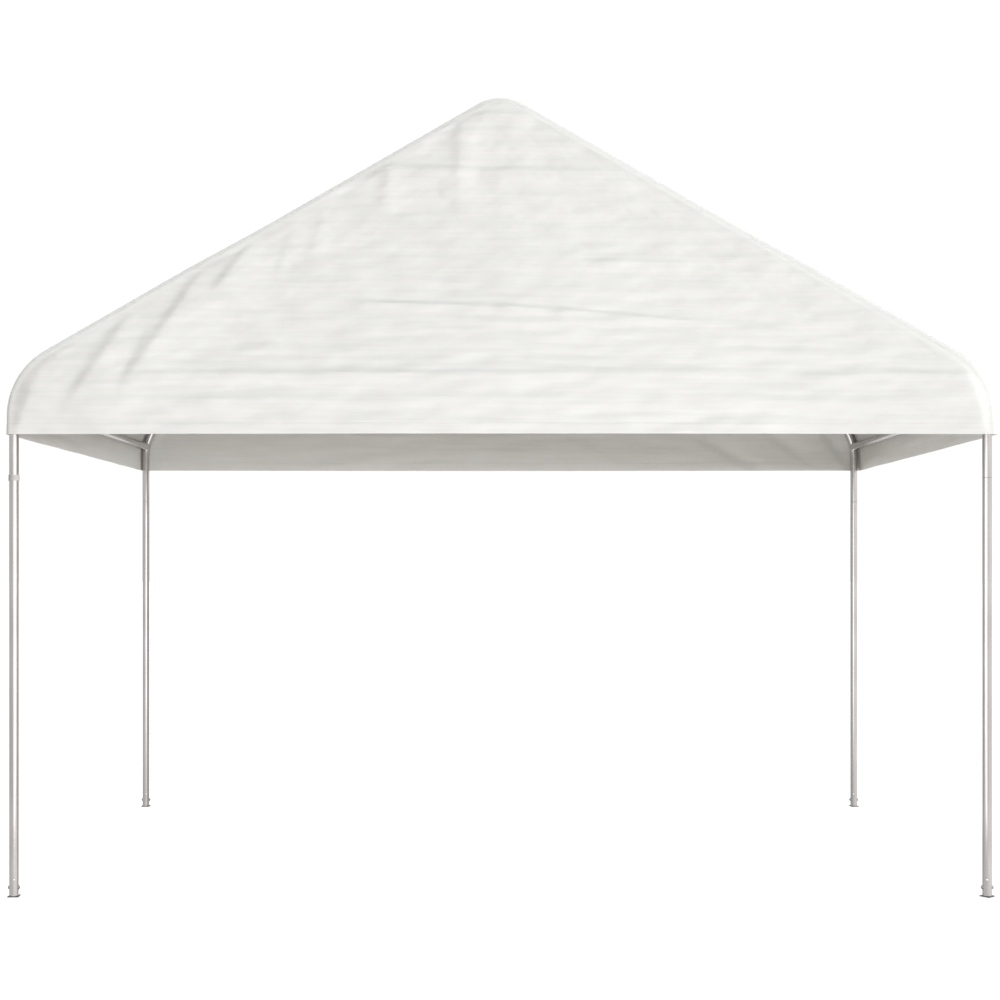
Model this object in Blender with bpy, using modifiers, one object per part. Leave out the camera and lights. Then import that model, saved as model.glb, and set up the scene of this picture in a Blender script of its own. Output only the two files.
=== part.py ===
"""Garden gazebo: a steel tube frame under a gabled sheet canopy, open on all four sides.

Four legs stand on small foot plates. Each leg runs up into a bent eave elbow, a rafter climbs from
the elbow to a bent ridge piece, and three purlins tie the front frame to the back one. The canopy
covers both slopes, wraps the eaves down to a short valance, and closes the two gables.

Metres, +Z up. Seen from the front gable, +X is to the right and +Y is to the back. The origin is on
the ground, midway between the feet.
"""

import math

import bmesh
import bpy
from mathutils import Matrix, Vector

# Driving dimensions of the whole gazebo
LEG_SPAN_X = 3.940
LEG_SPAN_Y = 2.190
TOTAL_HEIGHT = 3.234
HEM_Z = 1.870
ROOF_PITCH = math.radians(29.9)
EAVE_BEND_R = 0.280
RIDGE_BEND_R = 0.170

# Steel tubes: outer radius, and the reduced spigot that slides into the next tube
TUBE_R = 0.019
SPIGOT_R = 0.0165
SPIGOT_LENGTH = 0.055
BORE_R = 0.0168
BORE_DEPTH = 0.060
SHOULDER = 0.001
BEND_TAIL = 0.120
LEG_JOINT_Z = 1.694
EAVE_PURLIN_Z = 2.000

# Band that wraps the joint of the front left leg
BAND_R = 0.0218
BAND_HEIGHT = 0.024
BAND_EDGE = 0.002

# Square foot plates, each turned a little differently on its leg
FOOT_SIDE = 0.046
FOOT_THICKNESS = 0.003
FOOT_CORNER = 0.003
FOOT_TURN = {
    "front_left": math.radians(4),
    "front_right": math.radians(40),
    "back_left": math.radians(0),
    "back_right": math.radians(14),
}

# Canopy sheet, and the clearances between neighbours
SHEET_T = 0.003
SHEET_GAP = 0.0009
TOUCH = 0.0003

# Facets of round shapes
TUBE_SIDES = 20
CURVE_BEVEL_STEPS = 8
EAVE_STEPS = 8
RIDGE_STEPS = 4

# Worked out from the above, for the frame's centreline in the right half of a gable
HALF_X = LEG_SPAN_X / 2
HALF_Y = LEG_SPAN_Y / 2
SIN_P, COS_P, TAN_P = math.sin(ROOF_PITCH), math.cos(ROOF_PITCH), math.tan(ROOF_PITCH)
RIDGE_TOP_Z = TOTAL_HEIGHT - SHEET_T - SHEET_GAP - TUBE_R
RIDGE_CENTRE_Z = RIDGE_TOP_Z - RIDGE_BEND_R
EAVE_CENTRE_X = HALF_X - EAVE_BEND_R
EAVE_END_X = EAVE_CENTRE_X + EAVE_BEND_R * SIN_P
EAVE_END_Z = RIDGE_CENTRE_Z + RIDGE_BEND_R / COS_P - TAN_P * EAVE_END_X
EAVE_CENTRE_Z = EAVE_END_Z - EAVE_BEND_R * COS_P
SHEET_INSIDE = TUBE_R + SHEET_GAP
SHEET_OUTSIDE = SHEET_INSIDE + SHEET_T
GABLE_INSIDE_Y = HALF_Y + SHEET_INSIDE

CORNERS = {
    "front_left": (-1, -1),
    "front_right": (1, -1),
    "back_left": (-1, 1),
    "back_right": (1, 1),
}


def clear_scene():
    for old in list(bpy.data.objects):
        bpy.data.objects.remove(old, do_unlink=True)


def new_collection(name):
    made = bpy.data.collections.new(name)
    bpy.context.scene.collection.children.link(made)
    return made


def new_material(name, colour, roughness, metallic):
    made = bpy.data.materials.new(name)
    made.use_nodes = True
    shader = made.node_tree.nodes["Principled BSDF"]
    shader.inputs["Base Color"].default_value = (*colour, 1.0)
    shader.inputs["Roughness"].default_value = roughness
    shader.inputs["Metallic"].default_value = metallic
    return made


def new_object(name, data, material, collection):
    made = bpy.data.objects.new(name, data)
    data.materials.append(material)
    collection.objects.link(made)
    return made


def aim(obj, start, direction):
    """Stands an object that was made along +Z at a start point, along a direction."""
    turn = Vector((0, 0, 1)).rotation_difference(Vector(direction)).to_matrix().to_4x4()
    obj.matrix_world = Matrix.Translation(start) @ turn


def spun_mesh(name, profile):
    """An open profile of (radius, height) points, from the axis round the outside, as edges."""
    mesh = bpy.data.meshes.new(name)
    shape = bmesh.new()
    points = [shape.verts.new((radius, 0, height)) for radius, height in profile]
    for lower, upper in zip(points, points[1:]):
        shape.edges.new((lower, upper))
    shape.to_mesh(mesh)
    shape.free()
    return mesh


def spun_object(name, profile, material, collection):
    """Turns a profile about Z with a Screw modifier."""
    made = new_object(name, spun_mesh(name, profile), material, collection)
    spin = made.modifiers.new("spin", "SCREW")
    spin.angle = math.tau
    spin.steps = TUBE_SIDES
    spin.render_steps = TUBE_SIDES
    spin.use_merge_vertices = True
    spin.merge_threshold = 0.00001
    return made


def socketed_tube(name, start, direction, length, material, collection):
    """A straight tube with a socket in each end for its neighbour's spigot."""
    profile = [
        (0, length - BORE_DEPTH),
        (BORE_R, length - BORE_DEPTH),
        (BORE_R, length),
        (TUBE_R, length),
        (TUBE_R, 0),
        (BORE_R, 0),
        (BORE_R, BORE_DEPTH),
        (0, BORE_DEPTH),
    ]
    made = spun_object(name, profile, material, collection)
    aim(made, start, direction)
    return made


def bent_tube(name, path, material, collection):
    """A tube along (point, radius) pairs: a bevelled curve made into a closed mesh."""
    curve = bpy.data.curves.new(name, "CURVE")
    curve.dimensions = "3D"
    curve.bevel_depth = TUBE_R
    curve.bevel_resolution = CURVE_BEVEL_STEPS
    curve.use_fill_caps = True
    spline = curve.splines.new("POLY")
    spline.points.add(len(path) - 1)
    for knot, (point, radius) in zip(spline.points, path):
        knot.co = (*point, 1)
        knot.radius = radius / TUBE_R
    guide = bpy.data.objects.new(f"{name}_guide", curve)
    collection.objects.link(guide)
    bpy.context.view_layer.update()
    evaluated = guide.evaluated_get(bpy.context.evaluated_depsgraph_get())
    mesh = bpy.data.meshes.new_from_object(evaluated)
    bpy.data.objects.remove(guide, do_unlink=True)
    mesh.name = name
    shape = bmesh.new()
    shape.from_mesh(mesh)
    bmesh.ops.remove_doubles(shape, verts=shape.verts, dist=0.00001)
    bmesh.ops.recalc_face_normals(shape, faces=shape.faces)
    shape.to_mesh(mesh)
    shape.free()
    mesh.materials.clear()
    return new_object(name, mesh, material, collection)


def add_spigot(obj, start, direction, length, material, cutters):
    """Welds a round spigot onto a piece."""
    mesh = bpy.data.meshes.new(f"{obj.name}_spigot")
    shape = bmesh.new()
    bmesh.ops.create_cone(
        shape,
        cap_ends=True,
        segments=TUBE_SIDES,
        radius1=SPIGOT_R,
        radius2=SPIGOT_R,
        depth=length,
        matrix=Matrix.Translation((0, 0, length / 2)),
    )
    shape.to_mesh(mesh)
    shape.free()
    spigot = new_object(mesh.name, mesh, material, cutters)
    aim(spigot, start, direction)
    spigot.hide_render = True
    spigot.display_type = "WIRE"
    weld = obj.modifiers.new("weld_spigot", "BOOLEAN")
    weld.operation = "UNION"
    weld.solver = "EXACT"
    weld.object = spigot


def eave_arc(offset=0.0):
    """Points (x, z) round the right eave at an offset from the tube's centreline, bottom up."""
    radius = EAVE_BEND_R + offset
    sweep = math.pi / 2 - ROOF_PITCH
    turns = [sweep * step / EAVE_STEPS for step in range(EAVE_STEPS + 1)]
    return [
        (EAVE_CENTRE_X + radius * math.cos(turn), EAVE_CENTRE_Z + radius * math.sin(turn))
        for turn in turns
    ]


def ridge_arc(offset=0.0):
    """Points (x, z) over the right half of the ridge bend, from the slope up to the top."""
    radius = RIDGE_BEND_R + offset
    turns = [ROOF_PITCH * (1 - step / RIDGE_STEPS) for step in range(RIDGE_STEPS + 1)]
    return [(radius * math.sin(turn), RIDGE_CENTRE_Z + radius * math.cos(turn)) for turn in turns]


def roof_section(offset):
    """Points (x, z) of the right half of the roof's section, from hem to ridge."""
    return [(HALF_X + offset, HEM_Z)] + eave_arc(offset) + ridge_arc(offset)


def make_foot(corner, material, collection, cutters):
    """A square plate with a spigot that stands inside the leg."""
    side_x, side_y = CORNERS[corner]
    name = f"foot_{corner}"
    mesh = bpy.data.meshes.new(name)
    shape = bmesh.new()
    bmesh.ops.create_cube(
        shape,
        size=1,
        matrix=Matrix.Translation((0, 0, FOOT_THICKNESS / 2))
        @ Matrix.Diagonal((FOOT_SIDE, FOOT_SIDE, FOOT_THICKNESS, 1)),
    )
    upright = [e for e in shape.edges if abs(e.verts[0].co.z - e.verts[1].co.z) > FOOT_THICKNESS / 2]
    bmesh.ops.bevel(shape, geom=upright, offset=FOOT_CORNER, segments=2, profile=0.5, affect="EDGES")
    shape.to_mesh(mesh)
    shape.free()
    foot = new_object(name, mesh, material, collection)
    foot.location = (side_x * HALF_X, side_y * HALF_Y, 0)
    foot.rotation_euler = (0, 0, FOOT_TURN[corner])
    bpy.context.view_layer.update()
    start = (side_x * HALF_X, side_y * HALF_Y, FOOT_THICKNESS / 2)
    add_spigot(foot, start, (0, 0, 1), SPIGOT_LENGTH, material, cutters)


def make_leg(corner, material, collection):
    side_x, side_y = CORNERS[corner]
    bottom = FOOT_THICKNESS + TOUCH
    start = (side_x * HALF_X, side_y * HALF_Y, bottom)
    length = LEG_JOINT_Z - bottom
    socketed_tube(f"leg_{corner}", start, (0, 0, 1), length, material, collection)


def make_band(corner, material, collection):
    """A thin ring round the joint of one leg, with softened edges."""
    side_x, side_y = CORNERS[corner]
    inside = TUBE_R + TOUCH
    profile = [
        (inside, 0),
        (inside, BAND_HEIGHT),
        (BAND_R - BAND_EDGE, BAND_HEIGHT),
        (BAND_R, BAND_HEIGHT - BAND_EDGE),
        (BAND_R, BAND_EDGE),
        (BAND_R - BAND_EDGE, 0),
        (inside, 0),
    ]
    band = spun_object(f"joint_band_{corner}", profile, material, collection)
    weld = band.modifiers.new("close", "WELD")
    weld.merge_threshold = 0.00001
    band.location = (side_x * HALF_X, side_y * HALF_Y, LEG_JOINT_Z - BAND_HEIGHT / 2)


def tail_points(start, direction):
    """Straight run past a bend, then the shoulder and the spigot: (point, radius) pairs."""
    start, direction = Vector(start), Vector(direction)
    return [
        (start + direction * BEND_TAIL, TUBE_R),
        (start + direction * (BEND_TAIL + SHOULDER), SPIGOT_R),
        (start + direction * (BEND_TAIL + SHOULDER + SPIGOT_LENGTH), SPIGOT_R),
    ]


def make_elbow(corner, material, collection, cutters):
    """Eave elbow: a spigot down into the leg, the bend, a tail up the slope, and a purlin spigot."""
    side_x, side_y = CORNERS[corner]
    y = side_y * HALF_Y
    foot = LEG_JOINT_Z + TOUCH
    path = [
        (Vector((side_x * HALF_X, y, foot - SPIGOT_LENGTH)), SPIGOT_R),
        (Vector((side_x * HALF_X, y, foot)), SPIGOT_R),
        (Vector((side_x * HALF_X, y, foot + SHOULDER)), TUBE_R),
    ]
    path += [(Vector((side_x * x, y, z)), TUBE_R) for x, z in eave_arc()]
    path += tail_points(path[-1][0], (-side_x * COS_P, 0, SIN_P))
    elbow = bent_tube(f"eave_elbow_{corner}", path, material, collection)
    start = (side_x * eave_purlin_x(), y, EAVE_PURLIN_Z)
    add_spigot(elbow, start, (0, -side_y, 0), TUBE_R + SPIGOT_LENGTH, material, cutters)


def eave_purlin_x():
    """Where the elbow's centreline passes the eave purlin's height."""
    rise = EAVE_PURLIN_Z - EAVE_CENTRE_Z
    return EAVE_CENTRE_X + math.sqrt(EAVE_BEND_R**2 - rise**2)


def make_ridge_bend(end, side_y, material, collection, cutters):
    """Ridge piece of one gable frame: two tails, the bend over the top, and the purlin spigot."""
    y = side_y * HALF_Y
    right = [(Vector((x, y, z)), TUBE_R) for x, z in ridge_arc()]
    right_tail = tail_points(right[0][0], (COS_P, 0, -SIN_P))
    half = right_tail[::-1] + right
    left = [(Vector((-point.x, point.y, point.z)), radius) for point, radius in half[-2::-1]]
    bend = bent_tube(f"ridge_bend_{end}", half + left, material, collection)
    start = (0, y, RIDGE_TOP_Z)
    add_spigot(bend, start, (0, -side_y, 0), TUBE_R + SPIGOT_LENGTH, material, cutters)


def make_rafter(corner, material, collection):
    """Straight tube up the slope from the elbow's shoulder to the ridge bend's shoulder."""
    side_x, side_y = CORNERS[corner]
    low = Vector((EAVE_END_X, 0, EAVE_END_Z))
    high_x, high_z = ridge_arc()[0]
    slope = Vector((high_x, 0, high_z)) - low
    trim = BEND_TAIL + SHOULDER + TOUCH
    up = slope.normalized()
    start = low + up * trim
    start = (side_x * start.x, side_y * HALF_Y, start.z)
    length = slope.length - 2 * trim
    direction = (side_x * up.x, 0, up.z)
    socketed_tube(f"rafter_{corner}", start, direction, length, material, collection)


def make_purlin(name, x, z, material, collection):
    """Straight tube along Y between the front frame and the back one."""
    reach = HALF_Y - TUBE_R - TOUCH
    socketed_tube(name, (x, -reach, z), (0, 1, 0), 2 * reach, material, collection)


def make_roof_sheet(side, side_x, material, collection):
    """Half of the roof: one slope, its eave curve and its valance, as a thickened section."""
    points = roof_section(SHEET_INSIDE)
    points[-1] = (TOUCH / 2, points[-1][1])
    mesh = bpy.data.meshes.new(f"roof_sheet_{side}")
    shape = bmesh.new()
    front = GABLE_INSIDE_Y - TOUCH
    row = [shape.verts.new((side_x * x, -front, z)) for x, z in points]
    edges = [shape.edges.new(pair) for pair in zip(row, row[1:])]
    swept = bmesh.ops.extrude_edge_only(shape, edges=edges)["geom"]
    moved = [item for item in swept if isinstance(item, bmesh.types.BMVert)]
    bmesh.ops.translate(shape, verts=moved, vec=(0, 2 * front, 0))
    bmesh.ops.recalc_face_normals(shape, faces=shape.faces)
    if sum(face.normal.z for face in shape.faces) < 0:
        bmesh.ops.reverse_faces(shape, faces=shape.faces)
    shape.to_mesh(mesh)
    shape.free()
    sheet = new_object(mesh.name, mesh, material, collection)
    thicken = sheet.modifiers.new("thickness", "SOLIDIFY")
    thicken.thickness = SHEET_T
    thicken.offset = 1.0
    thicken.use_even_offset = True


def make_gable_sheet(end, side_y, material, collection):
    """One closed gable: the roof's whole section down to the hem, as a flat sheet."""
    half = roof_section(SHEET_OUTSIDE)
    outline = half + [(-x, z) for x, z in half[-2::-1]]
    name = f"gable_sheet_{end}"
    curve = bpy.data.curves.new(name, "CURVE")
    curve.dimensions = "2D"
    curve.fill_mode = "BOTH"
    curve.extrude = SHEET_T / 2
    spline = curve.splines.new("POLY")
    spline.points.add(len(outline) - 1)
    for knot, (x, z) in zip(spline.points, outline):
        knot.co = (x, z, 0, 1)
    spline.use_cyclic_u = True
    gable = new_object(name, curve, material, collection)
    gable.rotation_euler = (math.pi / 2, 0, 0)
    gable.location = (0, side_y * (GABLE_INSIDE_Y + SHEET_T / 2), 0)


def main():
    clear_scene()
    parts = new_collection("garden_gazebo")
    cutters = new_collection("welded_spigots")
    steel = new_material("galvanised_steel", (0.42, 0.42, 0.42), 0.35, 0.9)
    plate = new_material("galvanised_plate", (0.20, 0.20, 0.20), 0.55, 0.8)
    band = new_material("band_plastic", (0.62, 0.62, 0.62), 0.45, 0.0)
    sheet = new_material("woven_polyethylene", (0.80, 0.80, 0.77), 0.55, 0.0)
    for corner in CORNERS:
        make_foot(corner, plate, parts, cutters)
        make_leg(corner, steel, parts)
        make_elbow(corner, steel, parts, cutters)
        make_rafter(corner, steel, parts)
    make_band("front_left", band, parts)
    for end, side_y in (("front", -1), ("back", 1)):
        make_ridge_bend(end, side_y, steel, parts, cutters)
        make_gable_sheet(end, side_y, sheet, parts)
    for side, side_x in (("left", -1), ("right", 1)):
        make_purlin(f"eave_purlin_{side}", side_x * eave_purlin_x(), EAVE_PURLIN_Z, steel, parts)
        make_roof_sheet(side, side_x, sheet, parts)
    make_purlin("ridge_purlin", 0, RIDGE_TOP_Z, steel, parts)


main()
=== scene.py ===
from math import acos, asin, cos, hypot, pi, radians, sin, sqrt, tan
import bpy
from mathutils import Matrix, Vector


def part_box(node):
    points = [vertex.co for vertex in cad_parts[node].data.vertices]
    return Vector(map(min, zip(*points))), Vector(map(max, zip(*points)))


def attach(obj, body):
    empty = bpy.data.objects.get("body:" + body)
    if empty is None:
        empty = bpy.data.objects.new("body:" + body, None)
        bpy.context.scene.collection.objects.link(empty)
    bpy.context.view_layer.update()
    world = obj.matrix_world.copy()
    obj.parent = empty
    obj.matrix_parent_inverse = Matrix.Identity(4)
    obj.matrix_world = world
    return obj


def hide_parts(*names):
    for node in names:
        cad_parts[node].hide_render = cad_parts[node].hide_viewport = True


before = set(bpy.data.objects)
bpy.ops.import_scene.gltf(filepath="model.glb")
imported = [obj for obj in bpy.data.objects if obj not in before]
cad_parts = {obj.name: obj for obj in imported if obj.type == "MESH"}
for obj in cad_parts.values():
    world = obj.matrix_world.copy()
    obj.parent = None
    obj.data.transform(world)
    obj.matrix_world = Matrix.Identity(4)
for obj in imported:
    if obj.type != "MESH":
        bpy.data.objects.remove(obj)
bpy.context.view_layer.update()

# Garden gazebo: a gabled cover of woven polyethylene on a frame of galvanised steel tube.
# Metres, +Z up. Seen from the front gable, +X is to the right and +Y is to the back.

from types import SimpleNamespace

import bmesh
import bpy
import numpy as np
from bpy.types import Operator, Panel, PropertyGroup
from mathutils import Vector

bl_info = {
    "name": "Garden gazebo",
    "version": (1, 0, 0),
    "blender": (4, 5, 0),
    "location": "3D View > Sidebar > Gazebo",
    "description": "Dresses a tube-framed garden gazebo: steel, fasteners, sewn cover and studio",
    "category": "Add Mesh",
}

BODY = "root"
CORNERS = {
    "front_left": (-1, -1),
    "front_right": (1, -1),
    "back_left": (-1, 1),
    "back_right": (1, 1),
}
ENDS = {"front": -1, "back": 1}

# Sizes and places that the frame already has
leg_low, leg_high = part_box("leg_back_right")
LEG_X = (leg_low.x + leg_high.x) / 2
LEG_Y = (leg_low.y + leg_high.y) / 2
TUBE_R = (leg_high.x - leg_low.x) / 2
LEG_FOOT_Z = leg_low.z
LEG_TOP_Z = leg_high.z
HEM_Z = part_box("gable_sheet_front")[0].z
band_low, band_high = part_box("joint_band_front_left")
ridge_low, ridge_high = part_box("ridge_purlin")
eave_low, eave_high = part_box("eave_purlin_right")
RIDGE_PURLIN_Z = (ridge_low.z + ridge_high.z) / 2
EAVE_PURLIN_X = (eave_low.x + eave_high.x) / 2
EAVE_PURLIN_Z = (eave_low.z + eave_high.z) / 2
PURLIN_REACH = eave_high.y

WELD_DISTANCE = 0.000002
SHARP_ANGLE = radians(32)
FINE_GAP = 0.0003        # between parts that rest on one another
PURE_WHITE = (1, 1, 1, 1)
UP = (0, 0, 1)
BACK = (0, 1, 0)


def metres(name, description, default):
    """A length that a user can change."""
    return bpy.props.FloatProperty(name=name, description=description, default=default, unit="LENGTH")


def scalar(name, description, default):
    """A plain number that a user can change."""
    return bpy.props.FloatProperty(name=name, description=description, default=default)


def numbers(name, description, default, **kind):
    """Two or three numbers that belong together, such as a place."""
    return bpy.props.FloatVectorProperty(
        name=name, description=description, default=default, size=len(default), **kind
    )


def hex_colour(name, default):
    """A colour that a user can change."""
    return bpy.props.StringProperty(name=name, description="sRGB hex", default=default)


class FrameSettings(PropertyGroup):
    """Sizes and colours of the steel frame"""

    pitch: bpy.props.FloatProperty(
        name="Roof pitch",
        description="Slope of the rafters",
        default=radians(29.9),
        subtype="ANGLE",
    )
    eave_bend: metres("Eave bend", "Centreline radius of the elbows", 0.280)
    ridge_bend: metres("Ridge bend", "Centreline radius over the ridge", 0.170)
    bend_tail: metres("Bend tail", "Straight run past each bend", 0.120)
    spigot_r: metres("Spigot radius", "Reduced end inside the next tube", 0.0165)
    bore_r: metres("Bore radius", "Inside of a tube's open end", 0.0168)
    spigot_length: metres("Spigot length", "How far a spigot reaches in", 0.055)
    rim: metres("Rim", "Rounding of cut tube ends", 0.0008)
    tube_sides: bpy.props.IntProperty(name="Tube sides", description="Facets round a tube", default=40)
    plate_side: metres("Foot side", "Width of the square foot plates", 0.046)
    plate_corner: metres("Foot corner", "Corner radius of the foot plates", 0.003)
    bolt_z: metres("Bolt height", "Height of the bolt through each foot", 0.037)
    bolt_flats: metres("Bolt flats", "Width across the flats of head and nut", 0.013)
    bolt_head: metres("Bolt head", "Height of the head and of the nut", 0.0036)
    bolt_r: metres("Bolt radius", "Radius of the threaded shaft", 0.0038)
    button_z: metres("Button height", "Height of the snap button above the ground", 0.070)
    button_r: metres("Button radius", "Radius of the domed snap button", 0.0048)
    steel_light: hex_colour("Steel, bright", "D2CFCE")
    steel_dark: hex_colour("Steel, dull", "BBB7B6")
    plate_colour: hex_colour("Foot plate", "8E8C8A")
    band_colour: hex_colour("Joint band", "C4C3C2")


class CoverSettings(PropertyGroup):
    """Sizes and colours of the sewn cover"""

    clearance: metres("Clearance", "From the tubes' outside to the sheet", 0.0010)
    eave_slack: metres("Eave slack", "How far the sheet stands off the elbows", 0.0085)
    hem_flare: metres("Hem flare", "Extra stand-off at the right hem's corners", 0.012)
    belly: metres("Belly", "How far a gable bows out beside the eaves", 0.018)
    bulge: metres("Bulge", "How far the middle of a gable bows out", 0.030)
    sag: metres("Sag", "How far a slope sags between the frames", 0.022)
    hem: metres("Hem", "Height of the turned-up hem", 0.045)
    hem_thickness: metres("Hem thickness", "Thickness of the folded hem", 0.0024)
    sheet_light: hex_colour("Sheet, light", "F0F1F0")
    sheet_dark: hex_colour("Sheet, dull", "E8E9E6")


class StudioSettings(PropertyGroup):
    """Camera, floor and light"""

    lens: scalar("Lens", "Focal length in mm", 51.93)
    camera_at: numbers("Camera", "Where the camera stands", (-0.0104, -6.935, 1.338), subtype="XYZ")
    shift: numbers("Shift", "Lens shift to the right and up", (0.0020, 0.0658))
    sky_front: scalar("Front sky", "Light from the front, above", 0.18)
    sky_back: scalar("Back sky", "Light from the back, above", 0.5)
    ground: scalar("Ground", "Light from below", 0.5)
    ground_tint: numbers("Ground tint", "Colour of light from below", (1.0, 0.935, 0.87), subtype="COLOR")
    walls: numbers("Walls", "What bright metal mirrors at the left and the right", (0.75, 1.1))
    mirrored_floor: scalar("Mirrored floor", "Share of the walls' light mirrored from below", 0.5)
    key: scalar("Key", "Strength of the light from the right", 2.82)
    top: scalar("Top", "Strength of the light from above", 2.2)
    rear: scalar("Rear", "Strength of the light from behind", 0.8)


def linear(colour):
    """sRGB hex to linear red, green, blue and full alpha."""
    values = [int(colour[at:at + 2], 16) / 255 for at in (0, 2, 4)]
    return [v / 12.92 if v <= 0.04045 else ((v + 0.055) / 1.055) ** 2.4 for v in values] + [1.0]


def smooth(amount):
    """Eases from 0 to 1 as amount goes from 0 to 1."""
    held = np.clip(amount, 0.0, 1.0)
    return held * held * (3 - 2 * held)


def bell(distance, width):
    """1 at no distance, falling away over the width."""
    return np.exp(-((distance / width) ** 2))


def stacked(*parts):
    """Coordinates spread over one another and put together as points or directions."""
    return np.stack(np.broadcast_arrays(*parts), axis=-1)


def grid_faces(rows, columns, first):
    """Corner numbers of the quads between the neighbouring points of a grid."""
    number = first + np.arange(rows * columns).reshape(rows, columns)
    corners = stacked(number[:-1, :-1], number[:-1, 1:], number[1:, 1:], number[1:, :-1])
    return corners.reshape(-1, 4)


def surface_mesh(name, surfaces):
    """One mesh from (points, uv) grids, with seams and poles welded and faces pointing outwards."""
    points = np.concatenate([p.reshape(-1, 3) for p, _ in surfaces])
    uv = np.concatenate([m.reshape(-1, 2) for _, m in surfaces])
    faces = []
    first = 0
    for grid, _ in surfaces:
        rows, columns = grid.shape[:2]
        faces.append(grid_faces(rows, columns, first))
        first += rows * columns
    faces = np.concatenate(faces)
    mesh = bpy.data.meshes.new(name)
    mesh.from_pydata(points.tolist(), [], faces.tolist())
    layer = mesh.uv_layers.new(name="surface")
    layer.data.foreach_set("uv", uv[faces.ravel()].ravel().astype(np.float32))
    shape = bmesh.new()
    shape.from_mesh(mesh)
    bmesh.ops.remove_doubles(shape, verts=shape.verts, dist=WELD_DISTANCE)
    bmesh.ops.recalc_face_normals(shape, faces=shape.faces)
    shape.to_mesh(mesh)
    shape.free()
    mesh.shade_smooth()
    mesh.set_sharp_from_angle(angle=SHARP_ANGLE)
    return mesh


def face_up(mesh):
    """Turns an open mesh over where its faces look down on the whole."""
    if sum(face.normal.z * face.area for face in mesh.polygons) < 0:
        mesh.flip_normals()


def add_object(name, data):
    """Puts an object in the scene."""
    item = bpy.data.objects.new(name, data)
    bpy.context.scene.collection.objects.link(item)
    return item


def add_piece(name, surfaces, material, slot, *nodes):
    """Makes a piece of surfaces on its body, in place of the nodes that it stands for."""
    mesh = surface_mesh(name, surfaces)
    mesh.materials.append(material)
    piece = add_object(name, mesh)
    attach(piece, BODY)
    if nodes:
        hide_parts(*nodes)
    return piece


def straight(start, direction):
    """Path along a straight line: distances in, centres and forward directions out."""
    start, direction = np.array(start, float), np.array(direction, float)
    direction = direction / np.linalg.norm(direction)

    def path(along):
        return start + along[:, None] * direction, np.repeat(direction[None], len(along), axis=0)

    return path


def turned(path, rings, sideways, sides):
    """A round shape on a path: one circle for each (distance, radius) pair, as points and uv.

    A circle's centre is on the path at its distance, and it is spanned by the sideways direction
    and by forward cross sideways. The uv map is metres round and metres along.
    """
    rings = np.array(rings, float)
    centres, forward = path(rings[:, 0])
    sideways = np.array(sideways, float)
    upward = np.cross(forward, sideways)
    angle = np.linspace(0, 2 * pi, sides + 1)
    circle = np.cos(angle)[None, :, None] * upward[:, None] + np.sin(angle)[None, :, None] * sideways
    points = centres[:, None] + rings[:, 1, None, None] * circle
    steps = np.hypot(np.diff(rings[:, 0]), np.diff(rings[:, 1]))
    along = np.concatenate([[0], np.cumsum(steps)])
    around = angle * rings[:, 1].max()
    return points, stacked(around, along[:, None])


def open_end(steel, at, inward):
    """Rings of an open tube end, from the closed bottom of its bore out to its full radius."""
    play = 0.005
    bottom = at + inward * (steel.spigot_length + play)
    return [
        (bottom, 0),
        (bottom, steel.bore_r),
        (at + inward * steel.rim, steel.bore_r),
        (at, steel.bore_r + steel.rim / 2),
        (at, TUBE_R - steel.rim),
        (at + inward * steel.rim, TUBE_R),
    ]


def spigot_end(steel, at, outward):
    """Rings of a reduced end, from its closed tip back to the full radius."""
    tip = at + outward * (steel.spigot_length + steel.rim)
    return [
        (tip, 0),
        (tip, steel.spigot_r - steel.rim),
        (tip - outward * steel.rim, steel.spigot_r),
        (at + outward * steel.rim, steel.spigot_r),
        (at, TUBE_R - steel.rim),
        (at - outward * steel.rim, TUBE_R),
    ]


def open_tube(steel, start, direction, length, sideways):
    """A straight tube, open at both ends."""
    rings = open_end(steel, 0, 1) + open_end(steel, length, -1)[::-1]
    return turned(straight(start, direction), rings, sideways, steel.tube_sides)


def rod(low, high, radius):
    """Rings of a plain closed cylinder."""
    return [(low, 0), (low, radius), (high, radius), (high, 0)]


def section_key(steel):
    """Key places of a gable frame's centreline in its right half, and the lengths of its stretches."""
    key = SimpleNamespace(pitch=steel.pitch, eave_bend=steel.eave_bend, ridge_bend=steel.ridge_bend)
    key.sin, key.cos = sin(key.pitch), cos(key.pitch)
    key.ridge_z = RIDGE_PURLIN_Z - key.ridge_bend
    key.eave_x = LEG_X - key.eave_bend
    key.low_x = key.eave_x + key.eave_bend * key.sin
    key.low_z = key.ridge_z + key.ridge_bend / key.cos - tan(key.pitch) * key.low_x
    key.eave_z = key.low_z - key.eave_bend * key.cos
    key.valance = key.eave_z - HEM_Z
    key.eave = key.eave_bend * (pi / 2 - key.pitch)
    key.slope = (key.low_x - key.ridge_bend * key.sin) / key.cos
    key.ridge = key.ridge_bend * key.pitch
    key.half = key.valance + key.eave + key.slope + key.ridge
    return key


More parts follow.
